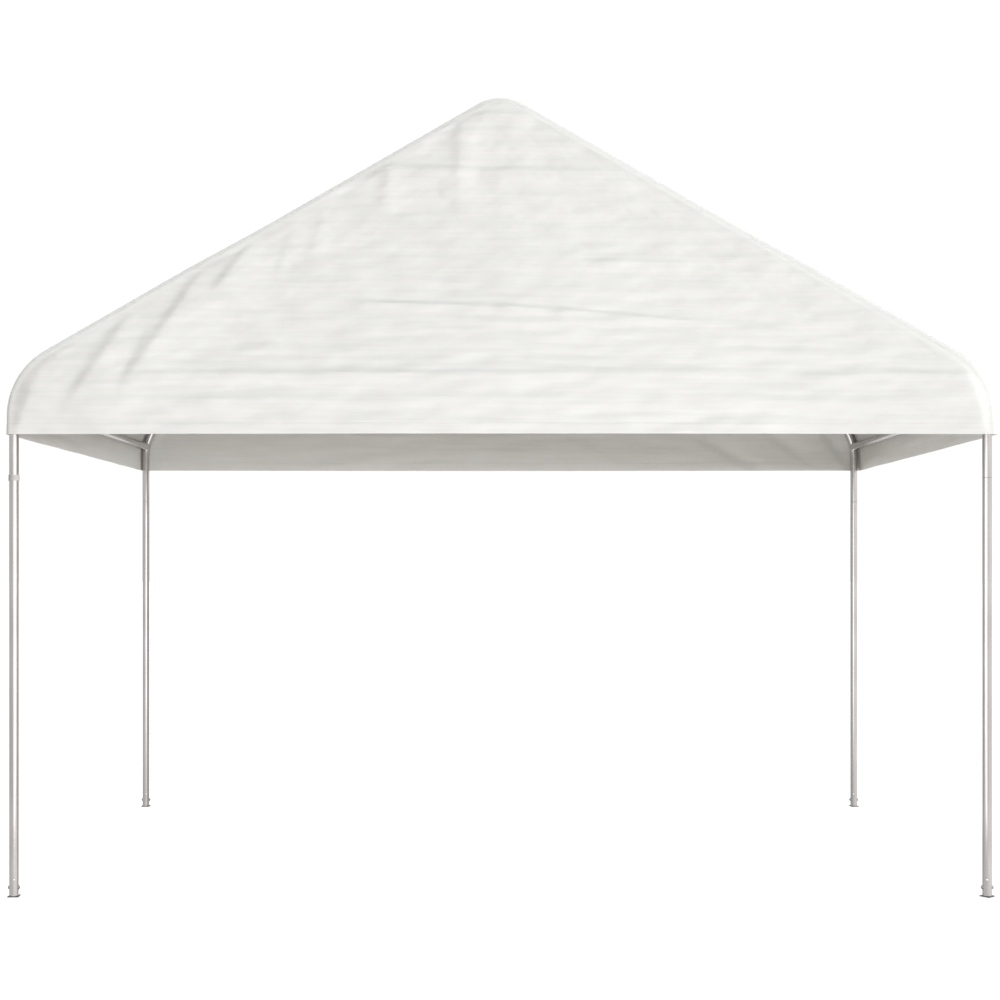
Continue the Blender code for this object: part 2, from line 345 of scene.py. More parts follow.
def section(key, along):
    """A gable frame's centreline at distances from the right hem, over the ridge, to the left hem.

    Straight up the valance, round the eave bend, straight up the slope, then half of the ridge
    bend, and the same mirrored. Returns x, z, and the x and z of the outward normal.
    """
    side = np.where(along <= key.half, 1.0, -1.0)
    rise = np.minimum(along, 2 * key.half - along)
    past_valance = rise - key.valance
    past_eave = past_valance - key.eave
    past_slope = past_eave - key.slope
    turn = np.clip(past_valance / key.eave_bend, 0, pi / 2 - key.pitch)
    lean = key.pitch - np.clip(past_slope / key.ridge_bend, 0, key.pitch)
    run = np.clip(past_eave, 0, key.slope)
    over = past_slope > 0
    x = key.eave_x + key.eave_bend * np.cos(turn) - run * key.cos
    z = key.eave_z + key.eave_bend * np.sin(turn) + run * key.sin + np.minimum(past_valance, 0)
    x = np.where(over, key.ridge_bend * np.sin(lean), x)
    z = np.where(over, key.ridge_z + key.ridge_bend * np.cos(lean), z)
    tilt = np.where(over, pi / 2 - lean, turn)
    return side * x, z, side * np.cos(tilt), np.sin(tilt)


def gable_path(key, side_x, y):
    """Path of a gable frame's centreline from the hem's height up one side."""

    def path(along):
        x, z, normal_x, normal_z = section(key, along)
        return stacked(side_x * x, y, z), stacked(-side_x * normal_z, 0.0, normal_x)

    return path


def feed(tree, node, **given):
    """Sets a node's inputs and properties, by name with _ for a space.

    An input takes a plain value, a socket, or a node, whose first live output it then reads.
    """
    inputs = {socket.identifier.replace(" ", "_"): socket for socket in node.inputs}
    for name, value in given.items():
        if hasattr(value, "outputs"):
            value = next(socket for socket in value.outputs if socket.enabled)
        if name not in inputs:
            setattr(node, name, value)
        elif isinstance(value, bpy.types.NodeSocket):
            tree.links.new(value, inputs[name])
        else:
            inputs[name].default_value = value


def add_node(tree, kind, *values, **named):
    """Adds a shader node, with values for its inputs in their order, and others by name."""
    node = tree.nodes.new("ShaderNode" + kind)
    names = [socket.identifier.replace(" ", "_") for socket in node.inputs]
    feed(tree, node, **named, **dict(zip(names, values)))
    return node


def new_material(name, **values):
    """A material, its tree, and its Principled shader set to some values."""
    material = bpy.data.materials.new(name)
    material.use_nodes = True
    tree = material.node_tree
    shader = tree.nodes["Principled BSDF"]
    feed(tree, shader, **values)
    return material, tree, shader


def pattern(tree, scale, kind="TexNoise", **settings):
    """A texture on the piece's own uv map, which is in metres, with a scale for each direction."""
    place = add_node(tree, "TexCoord")
    moved = add_node(tree, "Mapping", place.outputs["UV"], Scale=scale)
    return add_node(tree, kind, moved, Scale=1.0, **settings)


def two_tone(first, second):
    """Settings of a Mix node between two sRGB hex colours."""
    return {"data_type": "RGBA", "A_Color": linear(first), "B_Color": linear(second)}


def galvanised_tube(steel):
    """Pre-galvanised steel tube, roll-formed and drawn: bright zinc with faint lines along it and
    large soft spangles, so that its reflections run in long clean stripes."""
    material, tree, shader = new_material("galvanised_steel_tube", Metallic=1.0)
    spangle = pattern(tree, (22, 6, 1), "TexVoronoi", feature="SMOOTH_F1", Smoothness=0.9)
    lines = pattern(tree, (900, 3, 1), Detail=2.0)
    broad = add_node(tree, "MapRange", spangle, 0.1, 0.8, 0, 0.6)
    fine = add_node(tree, "MapRange", lines, 0.3, 0.7, 0, 0.4)
    tone = add_node(tree, "Math", broad, fine, operation="ADD")
    colour = add_node(tree, "Mix", tone, **two_tone(steel.steel_light, steel.steel_dark))
    rough = add_node(tree, "MapRange", spangle, 0.1, 0.8, 0.20, 0.26)
    feed(tree, shader, Base_Color=colour, Roughness=rough)
    return material


def dull_plate(steel):
    """Hot-dip galvanised sheet, punched and weathered: dull zinc, mottled, with a grainy surface."""
    material, tree, shader = new_material("dull_galvanised_plate", Metallic=0.85)
    mottle = pattern(tree, (140, 140, 1), Detail=4.0)
    grit = pattern(tree, (900, 900, 1), Detail=2.0)
    tone = add_node(tree, "MapRange", mottle, 0.35, 0.65)
    colour = add_node(tree, "Mix", tone, **two_tone(steel.plate_colour, "6C6A69"))
    rough = add_node(tree, "MapRange", mottle, 0.3, 0.7, 0.42, 0.6)
    relief = add_node(tree, "Bump", Height=grit, Distance=0.0001)
    feed(tree, shader, Base_Color=colour, Roughness=rough, Normal=relief)
    return material


def zinc_fastener():
    """Bright zinc-plated steel, cold-headed: smooth and mirror-like, with a few dull spots."""
    material, tree, shader = new_material("zinc_plated_steel", Metallic=1.0)
    spots = pattern(tree, (420, 420, 1), Detail=3.0)
    tone = add_node(tree, "MapRange", spots, 0.4, 0.7)
    colour = add_node(tree, "Mix", tone, **two_tone("C6C4C2", "8F8D8B"))
    rough = add_node(tree, "MapRange", spots, 0.4, 0.7, 0.16, 0.36)
    feed(tree, shader, Base_Color=colour, Roughness=rough)
    return material


def polished_nickel():
    """Nickel-plated spring steel, tumbled bright: a clean mirror, worn a little dull in places."""
    material, tree, shader = new_material("polished_nickel", Metallic=1.0)
    wear = pattern(tree, (300, 300, 1), Detail=2.0)
    tone = add_node(tree, "MapRange", wear, 0.5, 0.8)
    colour = add_node(tree, "Mix", tone, **two_tone("FBFAF7", "E4E2DE"))
    rough = add_node(tree, "MapRange", wear, 0.4, 0.8, 0.08, 0.2)
    feed(tree, shader, Base_Color=colour, Roughness=rough)
    return material


def band_plastic(steel):
    """Soft grey polyethylene tape wound round the joint: satin, with faint windings."""
    material, tree, shader = new_material("grey_polyethylene_tape", Roughness=0.42, IOR=1.51)
    windings = pattern(tree, (8, 480, 1), Detail=1.0)
    tone = add_node(tree, "MapRange", windings, 0.35, 0.65)
    colour = add_node(tree, "Mix", tone, **two_tone(steel.band_colour, "B3B2B0"))
    relief = add_node(tree, "Bump", Height=windings, Distance=0.0003)
    feed(tree, shader, Base_Color=colour, Normal=relief)
    return material


def woven_sheet(cover, name, stitched=False):
    """Coated woven polyethylene: flat tapes about 3 mm wide, woven and then laminated, so the
    sheet is satin, streaked along its tapes, and crackled with small sharp creases from packing.
    The weave is drawn three times as coarse as the tapes, and the stitches twice as long as real
    ones, because neither would show otherwise."""
    material, tree, shader = new_material(name, IOR=1.51)
    streaks = pattern(tree, (2.4, 60, 1), Detail=4.0, Roughness=0.6)
    patches = pattern(tree, (5, 9, 1), Detail=3.0)
    fine = add_node(tree, "MapRange", streaks, 0.35, 0.65, 0, 0.6)
    broad = add_node(tree, "MapRange", patches, 0.35, 0.65, 0, 0.4)
    tone = add_node(tree, "Math", fine, broad, operation="ADD")
    crackle = pattern(tree, (7, 16, 1), noise_type="RIDGED_MULTIFRACTAL", Detail=4.0, Roughness=0.55)
    pebble = pattern(tree, (34, 46, 1), Detail=3.0)
    across = pattern(tree, (35, 35, 1), "TexWave", bands_direction="X", Distortion=0.0)
    along = pattern(tree, (35, 35, 1), "TexWave", bands_direction="Y", Distortion=0.0)
    tapes = (across.outputs["Fac"], along.outputs["Fac"])
    weave = add_node(tree, "Math", *tapes, operation="MAXIMUM")
    layers = [(crackle, 0.0005), (streaks, 0.00025), (pebble, 0.0005), (weave, 0.00012)]
    if stitched:
        up, half_width = cover.hem - 0.004, 0.0011
        axes = add_node(tree, "SeparateXYZ", add_node(tree, "TexCoord").outputs["UV"])
        row = add_node(tree, "Math", axes.outputs["Y"], up, half_width, operation="COMPARE")
        thread = pattern(tree, (31, 1, 1), "TexWave", bands_direction="X", Distortion=0.0)
        stitch = add_node(tree, "Math", row, thread.outputs["Fac"], operation="MULTIPLY")
        layers.append((stitch, 0.0006))
    relief = {}
    for height, distance in layers:
        relief = {"Normal": add_node(tree, "Bump", Height=height, Distance=distance, **relief)}
    colour = add_node(tree, "Mix", tone, **two_tone(cover.sheet_light, cover.sheet_dark))
    rough = add_node(tree, "MapRange", patches, 0.3, 0.7, 0.4, 0.52)
    feed(tree, shader, Base_Color=colour, Roughness=rough, **relief)
    return material


def rounded_square(half, corner, per_corner):
    """Outline of a square with round corners: the corner's centre plus a quarter circle, four times."""
    quarter = np.linspace(0, pi / 2, per_corner)
    angle = np.concatenate([quarter + turn * pi / 2 for turn in range(4)])
    middle = np.repeat([[1, 1], [-1, 1], [-1, -1], [1, -1]], per_corner, axis=0) * (half - corner)
    outline = middle + corner * stacked(np.cos(angle), np.sin(angle))
    return np.concatenate([outline, outline[:1]])


def plate_surface(centre, steel, thickness, turn):
    """A foot plate: rounded squares stacked from the middle of its top to the middle of its bottom."""
    edge = 0.0006
    half = steel.plate_side / 2
    # How far out and how high
    levels = [(0, thickness), (half - edge, thickness), (half, thickness - edge)]
    levels += [(half, edge), (half - edge, 0), (0, 0)]
    reach, height = np.array(levels).T[:, :, None, None]
    outline = rounded_square(half, steel.plate_corner, 6) / half
    spin = np.array([[cos(turn), sin(turn)], [-sin(turn), cos(turn)]])
    flat = reach * (outline @ spin)
    height = np.broadcast_to(height, flat.shape[:2] + (1,))
    return np.concatenate([flat, height], axis=-1) + np.array(centre), flat


def foot_turn(corner, steel):
    """How far a foot plate is turned on its leg, from the width that its node takes up."""
    low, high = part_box(f"foot_{corner}")
    straight_half = steel.plate_side / 2 - steel.plate_corner
    reach = (high.x - low.x) / 2 - steel.plate_corner
    if reach <= straight_half:
        return pi / 4
    return acos(min(1.0, reach / (straight_half * sqrt(2))))


class GAZEBO_OT_feet(Operator):
    """Foot plates, each with the short spigot that stands in its leg"""

    bl_idname = "gazebo.feet"
    bl_label = "Foot plates"

    def execute(self, context):
        steel = context.scene.gazebo_frame
        material = dull_plate(steel)
        thickness = LEG_FOOT_Z - FINE_GAP
        rings = rod(low=-thickness / 2, high=0.05, radius=steel.spigot_r)
        for corner, (side_x, side_y) in CORNERS.items():
            x, y = side_x * LEG_X, side_y * LEG_Y
            plate = plate_surface((x, y, 0), steel, thickness, pi / 4 - foot_turn(corner, steel))
            spigot = turned(straight((x, y, thickness), UP), rings, BACK, steel.tube_sides)
            add_piece(f"foot_plate_{corner}", [plate, spigot], material, "foot_plate", f"foot_{corner}")
        return {"FINISHED"}


class GAZEBO_OT_legs(Operator):
    """Straight legs, open at both ends"""

    bl_idname = "gazebo.legs"
    bl_label = "Legs"

    def execute(self, context):
        steel = context.scene.gazebo_frame
        material = galvanised_tube(steel)
        for corner, (side_x, side_y) in CORNERS.items():
            start = (side_x * LEG_X, side_y * LEG_Y, LEG_FOOT_Z)
            tube = open_tube(steel, start, UP, LEG_TOP_Z - LEG_FOOT_Z, (0, -side_y, 0))
            add_piece(f"leg_tube_{corner}", [tube], material, "tube_steel", f"leg_{corner}")
        return {"FINISHED"}


class GAZEBO_OT_fasteners(Operator):
    """A bolt through each leg and foot, and a domed snap button above it"""

    bl_idname = "gazebo.fasteners"
    bl_label = "Bolts and buttons"

    def execute(self, context):
        steel = context.scene.gazebo_frame
        material = zinc_fastener()
        polish = polished_nickel()
        washers, head, shaft = self.bolt_rings(steel)
        dome = self.button_rings(steel)
        for corner, (side_x, side_y) in CORNERS.items():
            x, y = side_x * LEG_X, side_y * LEG_Y
            outward = straight((x, y, steel.bolt_z), (side_x, 0, 0))
            inward = straight((x, y, steel.bolt_z), (-side_x, 0, 0))
            # The buttons face the front, turned a little towards the middle
            forward = straight((x, y, steel.button_z), (-0.31 * side_x, -0.95, 0))
            surfaces = [turned(way, washers, UP, sides=24) for way in (outward, inward)]
            surfaces += [turned(way, head, UP, sides=6) for way in (outward, inward)]
            surfaces.append(turned(outward, shaft, UP, sides=16))
            add_piece(f"foot_bolt_{corner}", surfaces, material, "tube_steel")
            button = turned(forward, dome, UP, sides=20)
            add_piece(f"snap_button_{corner}", [button], polish, "tube_steel")
        return {"FINISHED"}

    def bolt_rings(self, steel):
        """Rings of the washers, of the head and nut, and of the threaded shaft."""
        corner_r = steel.bolt_flats / sqrt(3)
        sunk, proud, chamfer, worn = 0.002, 0.0012, 0.001, 0.86
        face = TUBE_R + proud
        end = face + steel.bolt_head
        tip = -end - sunk
        washers = rod(TUBE_R - sunk, face, steel.bolt_flats * 0.62)
        head = [(face, 0), (face, corner_r), (end - chamfer, corner_r), (end, corner_r * worn), (end, 0)]
        shaft = [(tip, 0), (tip, steel.bolt_r * 0.8), (-end - chamfer, steel.bolt_r)]
        shaft += [(end - sunk, steel.bolt_r), (end - sunk, 0)]
        return washers, head, shaft

    def button_rings(self, steel):
        """Rings of a short collar with a dome on it."""
        sunk, collar, crown, pole = 0.0012, 0.0006, 0.0034, 0.00001
        rings = [(TUBE_R - sunk, 0), (TUBE_R - sunk, steel.button_r)]
        for a in np.linspace(0, pi / 2, 7):
            rings.append((TUBE_R + collar + crown * sin(a), steel.button_r * cos(a) + pole))
        return rings + [(TUBE_R + collar + crown, 0)]


class GAZEBO_OT_band(Operator):
    """Grey band round the joint of the front left leg"""

    bl_idname = "gazebo.band"
    bl_label = "Joint band"

    def execute(self, context):
        outer = (band_high.x - band_low.x) / 2
        inner = TUBE_R + FINE_GAP
        height = band_high.z - band_low.z
        rounding = 0.0012
        turn = np.linspace(0, pi / 2, 5)[::-1]
        lower = [(rounding * (1 - sin(a)), outer - rounding * (1 - cos(a))) for a in turn]
        # A shallow groove near each end
        lower += [(0.004, outer), (0.0052, outer - 0.0005), (0.0064, outer)]
        upper = [(height - along, radius) for along, radius in lower[::-1]]
        rings = [(0, inner), *lower, *upper, (height, inner), (0, inner)]
        centre = ((band_low.x + band_high.x) / 2, (band_low.y + band_high.y) / 2, band_low.z)
        ring = turned(straight(centre, UP), rings, BACK, sides=48)
        material = band_plastic(context.scene.gazebo_frame)
        add_piece("grey_band_front_left", [ring], material, "band", "joint_band_front_left")
        return {"FINISHED"}


class GAZEBO_OT_gable_frames(Operator):
    """Elbows, rafters and ridge bends of the front and back frames"""

    bl_idname = "gazebo.gable_frames"
    bl_label = "Gable frames"

    def execute(self, context):
        steel = context.scene.gazebo_frame
        key = section_key(steel)
        material = bpy.data.materials["galvanised_steel_tube"]
        sides = steel.tube_sides
        gap = 0.0013
        foot = LEG_TOP_Z - HEM_Z + FINE_GAP
        slope_start = key.valance + key.eave
        elbow_end = slope_start + steel.bend_tail
        ridge_start = slope_start + key.slope - steel.bend_tail
        ridge_end = 2 * key.half - ridge_start
        bend = [(at, TUBE_R) for at in np.linspace(key.valance, slope_start, 40)]
        over = [(at, TUBE_R) for at in np.linspace(key.half - key.ridge, key.half + key.ridge, 30)]
        elbow_rings = spigot_end(steel, foot, -1) + bend + spigot_end(steel, elbow_end, 1)[::-1]
        rafter_rings = open_end(steel, elbow_end + gap, 1) + open_end(steel, ridge_start - gap, -1)[::-1]
        ridge_rings = spigot_end(steel, ridge_start, -1) + over + spigot_end(steel, ridge_end, 1)[::-1]
        stub = rod(0, TUBE_R + steel.spigot_length, steel.spigot_r)

        def bent(side_x, side_y, rings, x, z):
            """A bent piece, and the short spigot on it for the purlin."""
            inward = straight((x, side_y * LEG_Y, z), (0, -side_y, 0))
            path = gable_path(key, side_x, side_y * LEG_Y)
            return [turned(path, rings, BACK, sides), turned(inward, stub, UP, sides)]

        for corner, (side_x, side_y) in CORNERS.items():
            elbow = bent(side_x, side_y, elbow_rings, side_x * EAVE_PURLIN_X, EAVE_PURLIN_Z)
            rafter = turned(gable_path(key, side_x, side_y * LEG_Y), rafter_rings, BACK, sides)
            add_piece(f"elbow_{corner}", elbow, material, "tube_steel", f"eave_elbow_{corner}")
            add_piece(f"rafter_tube_{corner}", [rafter], material, "tube_steel", f"rafter_{corner}")
        for end, side_y in ENDS.items():
            ridge = bent(1, side_y, ridge_rings, 0, RIDGE_PURLIN_Z)
            add_piece(f"ridge_piece_{end}", ridge, material, "tube_steel", f"ridge_bend_{end}")
        return {"FINISHED"}


class GAZEBO_OT_purlins(Operator):
    """Ridge purlin and eave purlins between the two gable frames"""

    bl_idname = "gazebo.purlins"
    bl_label = "Purlins"

    def execute(self, context):
        steel = context.scene.gazebo_frame
        material = bpy.data.materials["galvanised_steel_tube"]
        places = {
            "ridge_purlin": (0, RIDGE_PURLIN_Z),
            "eave_purlin_left": (-EAVE_PURLIN_X, EAVE_PURLIN_Z),
            "eave_purlin_right": (EAVE_PURLIN_X, EAVE_PURLIN_Z),
        }
        for node, (x, z) in places.items():
            tube = open_tube(steel, (x, -PURLIN_REACH, z), BACK, 2 * PURLIN_REACH, UP)
            add_piece(f"{node}_tube", [tube], material, "tube_steel", node)
        return {"FINISHED"}


# Folds of the front gable as the sheet hangs: x and z of the start and of the end, height, and the
# widths of the steeper and of the gentler flank
FRONT_FOLDS = (
    (-1.2, 2.519, -1.478, 2.114, 0.0085, 0.028, 0.15),
    (-1.5, 2.33, -1.73, 1.99, 0.0085, 0.032, 0.13),
    (-1.01, 2.62, -1.149, 2.446, 0.007, 0.024, 0.1),
    (-1.404, 2.304, -1.529, 2.041, 0.0035, 0.018, 0.06),
    (-0.153, 3.15, -0.165, 2.798, 0.0052, 0.038, 0.06),
    (-0.215, 2.919, -0.22, 2.798, 0.0016, 0.028, 0.034),
    (-0.44, 2.96, -0.47, 2.78, 0.0038, 0.03, 0.05),
    (-0.708, 2.757, -0.76, 2.58, 0.0025, 0.022, 0.044),
    (-0.84, 2.7, -0.9, 2.5, 0.0014, 0.014, 0.034),
    (1.69, 2.25, 1.83, 2.16, 0.0022, 0.012, 0.02),
)

# Creases of the front gable, where the sheet lay folded: x and z of both ends, height, half width
FRONT_CREASES = (
    (-1.5, 2.112, 0.35, 2.11, 0.0052, 0.014),
    (0.25, 2.122, 1.12, 2.112, 0.0026, 0.014),
    (1.18, 2.106, 1.9, 2.108, 0.0042, 0.013),
    (-0.54, 2.931, -0.15, 2.93, 0.008, 0.019),
    (-0.1, 2.932, 0.5, 2.926, 0.0046, 0.017),
    (-0.18, 3.126, 0.16, 3.122, 0.0022, 0.009),
    (-0.13, 3.16, 0.11, 3.158, 0.002, 0.008),
    (-0.25, 3.092, 0.2, 3.096, 0.002, 0.009),
    (-0.22, 2.844, 0.48, 2.836, 0.0014, 0.011),
    (-0.6, 2.399, 0.06, 2.378, 0.0056, 0.011),
    (0.0, 2.388, 0.18, 2.366, 0.0036, 0.01),
    (0.18, 2.372, 0.72, 2.325, 0.0056, 0.01),
    (0.72, 2.325, 0.96, 2.316, 0.0036, 0.01),
    (-0.19, 2.33, 0.56, 2.325, 0.0028, 0.008),
    (0.2, 2.304, 0.64, 2.268, 0.0018, 0.008),
    (-0.41, 2.33, -0.18, 2.278, 0.0016, 0.012),
    (-0.26, 2.722, 0.07, 2.716, 0.0022, 0.009),
    (-0.56, 2.745, -0.3, 2.748, 0.0018, 0.009),
    (-1.09, 2.484, -0.56, 2.478, 0.002, 0.011),
    (0.0, 2.64, 0.34, 2.566, 0.002, 0.018),
    (0.34, 2.562, 0.8, 2.556, 0.003, 0.012),
    (0.7, 2.204, 1.5, 2.196, 0.0022, 0.015),
    (-1.2, 2.206, -0.82, 2.204, 0.0018, 0.012),
    (-1.7, 2.01, -0.7, 2.008, 0.0028, 0.014),
    (-1.94, 1.918, -1.4, 1.916, 0.0022, 0.01),
    (-0.45, 2.02, 0.56, 2.016, 0.0016, 0.014),
    (0.9, 2.01, 1.93, 2.006, 0.0024, 0.016),
    (-0.7, 1.92, 0.02, 1.922, 0.0016, 0.009),
    (0.85, 1.924, 1.1, 1.905, 0.0022, 0.012),
    (1.3, 1.919, 1.95, 1.922, 0.0018, 0.01),
)

# Folds of the back gable, which fall towards the right-hand corner
BACK_FOLDS = (
    (1.112, 2.06, 1.419, 1.886, 0.013, 0.019, 0.055),
    (1.48, 2.1, 1.726, 1.917, 0.012, 0.022, 0.055),
    (1.79, 2.11, 1.944, 1.889, 0.011, 0.017, 0.045),
    (0.42, 2.06, 0.7, 1.93, 0.003, 0.02, 0.06),
    (-1.25, 2.48, -1.52, 2.08, 0.0036, 0.026, 0.08),
    (-0.9, 2.64, -1.06, 2.42, 0.004, 0.016, 0.045),
    (0.82, 2.7, 1.01, 2.42, 0.004, 0.016, 0.045),
)
BACK_CREASES = (
    (-1.85, 2.118, 1.6, 2.112, 0.003, 0.014),
    (-0.5, 2.932, 0.53, 2.926, 0.003, 0.014),
    (-0.9, 2.52, 0.95, 2.512, 0.0024, 0.013),
)

# What each gable carries, by its end's direction: folds, creases, the seed of its wrinkles, their
# share of the full height, and how many columns it is drawn with
GABLES = {
    -1: (FRONT_FOLDS, FRONT_CREASES, 7, 1.0, 200),
    1: (BACK_FOLDS, BACK_CREASES, 19, 0.5, 120),
}
HEM_COLUMNS = 200
SHOULDER_Z = 2.03        # where a gable bows out most beside the eaves
FOLD_STRENGTH = 1.2
CREASE_STRENGTH = 2.0
CREASE_FLANKS = (2.8, 0.85)

# Creases of the roof: distances above the hem, and distances from the middle
LEVEL_CREASES = (0.62, 1.12, 1.62, 2.12)
CROSS_CREASES = (-0.56, 0.0, 0.56)

# Folds of the roof that run up from the eaves: where they start along the side, and their slant
EAVE_FOLDS = ((-0.95, 0.9), (-0.62, 0.55), (0.7, -0.6), (0.97, -0.95))
ROOF_SEED = 40

# Stations up half a section: in the valance, the eave curve, the slope and the ridge curve
STATIONS = (10, 36, 150, 12)
ROOF_LINES = 56
WRAP_STEPS = 6


def fold(x, z, line, height, before, after):
    """A straight ridge: a bell across its line, wider on one flank, that fades past both ends."""
    x, z = x - line[0], z - line[1]
    run_x, run_z = line[2] - line[0], line[3] - line[1]
    length = hypot(run_x, run_z)
    ahead_x, ahead_z = run_x / length, run_z / length
    along = (x * ahead_x + z * ahead_z) / length
    across = x * -ahead_z + z * ahead_x
    ends = smooth((along + 0.2) / 0.45) * smooth((1.2 - along) / 0.45)
    return height * bell(across, np.where(across < 0, before, after)) * ends


def ripples(u, v, seed, length_u, length_v, waves=60):
    """Random soft relief about 1 high: cosine waves of fixed random direction, length and phase."""
    draw = np.random.default_rng(seed)
    turn_u = draw.normal(0, 2 * pi / length_u, waves)
    turn_v = draw.normal(0, 2 * pi / length_v, waves)
    phase = draw.uniform(0, 2 * pi, waves)
    total = np.zeros(np.broadcast(u, v).shape)
    for a, b, c in zip(turn_u, turn_v, phase):
        total += np.cos(a * u + b * v + c)
    return total / sqrt(waves / 2)


def gable_inset(key, x, z):
    """How far a point of a gable lies inside the frame's centreline."""
    x = np.abs(x)
    upright = LEG_X - x
    slope = (key.low_x - x) * key.sin + (key.low_z - z) * key.cos
    turning = (x - key.eave_x) * key.cos > (z - key.eave_z) * key.sin
    corner = (x > key.eave_x) & (z > key.eave_z) & turning
    inset = np.minimum(upright, slope)
    inset = np.where(corner, key.eave_bend - np.hypot(x - key.eave_x, z - key.eave_z), inset)
    crown = (z > key.ridge_z) & (x * key.cos < (z - key.ridge_z) * key.sin)
    return np.where(crown, key.ridge_bend - np.hypot(x, z - key.ridge_z), inset)


def gable_relief(key, cover, x, z, folds, creases, seed, rough):
    """How far a gable stands out from its flat place.

    The belly rises within a short way from the edge, most beside the eaves, and falls away
    inwards. The bulge rises smoothly over the first 1.1 m. Folds, creases and ripples are added to
    it: waves that go both ways, and troughs that only go in. All but the belly fade out over the
    last 35 mm before the edge.
    """
    inset = gable_inset(key, x, z)
    height = cover.belly * (0.22 + 0.78 * bell(z - SHOULDER_Z, 0.11))
    steepness = np.where(x < 0, 0.32, 0.50)
    edge_width = height / steepness + 0.12 * smooth((z - 2.2) / 0.2) * smooth(-x / 0.2)
    ramp = np.clip(inset / edge_width, 0, None)
    belly = height * (ramp + 1.006 - np.sqrt((ramp - 1) ** 2 + 0.025)) / 2
    belly *= 0.15 + 0.85 * np.exp(-np.clip(inset - edge_width, 0, None) / 0.45)
    relief = cover.bulge * smooth(inset / 1.1)
    steep, gentle = CREASE_FLANKS
    for *line, height, before, after in folds:
        relief += FOLD_STRENGTH * fold(x, z, line, height, before, after)
    for *line, height, width in creases:
        relief += CREASE_STRENGTH * fold(x, z, line, height, steep * width, gentle * width)
    fine = rough**2
    relief += 0.0010 * rough * ripples(x, z, seed, 1.6, 0.13)
    relief -= 0.0005 * fine * np.abs(ripples(x, z, seed + 1, 0.9, 0.07))
    relief += 0.0014 * rough * ripples(x, z, seed + 2, 0.42, 0.11)
    relief += 0.00042 * fine * ripples(x, z, seed + 3, 0.10, 0.065)
    relief -= 0.0005 * fine * np.abs(ripples(x, z - 0.04 * x, seed + 4, 0.45, 0.05))
    return belly + relief * smooth(inset / 0.035)


def roof_relief(key, cover, rise, y, side):
    """How far a slope and its valance stand out.

    Ripples, less the level and cross creases, plus the folds at the eaves; flat over the eave
    purlin and the ridge. The sag is half a sine from purlin to ridge times half a cosine from
    front to back. Both fade out over the two gable frames. The valance hangs in slight waves.
    """
    purlin_rise = key.valance + key.eave_bend * asin((EAVE_PURLIN_Z - key.eave_z) / key.eave_bend)
    span = (rise - purlin_rise) / (key.half - purlin_rise)
    middle = np.cos(np.clip(y / LEG_Y, -1, 1) * pi / 2)
    sag = cover.sag * np.sin(np.clip(span, 0, 1) * pi) * middle
    over_purlin = 1 - bell(rise - purlin_rise, 0.05)
    over_ridge = 1 - bell(rise - key.half, 0.06)
    over_frame = 1 - bell(np.abs(y) - LEG_Y, 0.05)
    along = y + ROOF_SEED + np.where(side > 0, 0.0, 3.7)
    relief = 0.0018 * ripples(along, rise, ROOF_SEED, 1.4, 0.16)
    relief -= 0.0014 * np.abs(ripples(along, rise, ROOF_SEED + 1, 0.8, 0.10))
    relief += 0.0008 * ripples(along, rise, ROOF_SEED + 2, 0.12, 0.10)
    for level in LEVEL_CREASES:
        relief -= 0.0015 * bell(rise - level, 0.010)
    for level in CROSS_CREASES:
        relief -= 0.0015 * bell(y - level, 0.012) * smooth(rise / 0.3)
    for start, slant in EAVE_FOLDS:
        line = y - start - slant * (rise - 0.3) * 0.5
        relief += 0.0035 * bell(line, np.where(line < 0, 0.018, 0.045)) * bell(rise - 0.45, 0.28)
    hang = smooth((purlin_rise - rise) / purlin_rise)
    waves = 0.0015 * np.sin(2 * pi * y / 0.46 + side) * hang
    return (relief * over_purlin * over_ridge - sag) * over_frame + waves * over_frame


def eave_slack(key, cover, rise, side):
    """How far the section stands off its frame: round the eaves, and at the hem's right corners.

    The eave slack fades out between 0.95 m and 1.45 m above the hem, and the flare within 5 cm.
    """
    slack = cover.eave_slack * (1 - smooth((rise - 0.95) / 0.5))
    return slack + np.where(side > 0, cover.hem_flare, 0.0) * np.exp(-rise / 0.05)


def half_stations(key):
    """Distances from the hem to the ridge along half a section, closer together in the bends."""
    marks = [0, key.valance, key.valance + key.eave, key.half - key.ridge, key.half]
    runs = [np.linspace(a, b, n, endpoint=False) for a, b, n in zip(marks, marks[1:], STATIONS)]
    return np.concatenate([*runs, [key.half]])


def gable_columns(count):
    """Places across a gable from 0 to 1, evenly spread less a sine that crowds them at both edges."""
    crowding = 0.3
    even = np.linspace(0, 1, count)
    return even - crowding / (2 * pi) * np.sin(2 * pi * even)


def sheet_line(key, cover, rise, side):
    """The section at distances above the hem, on the right (side 1) or left (side -1), moved out by
    the sheet's slack. Returns x, z, and the x and z of the outward normal."""
    x, z, normal_x, normal_z = section(key, rise)
    slack = eave_slack(key, cover, rise, side)
    return side * (x + slack * normal_x), z + slack * normal_z, side * normal_x, normal_z


def gable_points(key, cover, rise, across, end_y):
    """A gable as level rows from the section's left half to its right half, moved out by its relief."""
    left_x, left_z, _, _ = sheet_line(key, cover, rise, -1.0)
    right_x, right_z, _, _ = sheet_line(key, cover, rise, 1.0)
    x = left_x[:, None] + across * (right_x - left_x)[:, None]
    z = left_z[:, None] + across * (right_z - left_z)[:, None]
    relief = gable_relief(key, cover, x, z, *GABLES[end_y][:4])
    return stacked(x, end_y * (LEG_Y + TUBE_R + cover.clearance + relief), z)


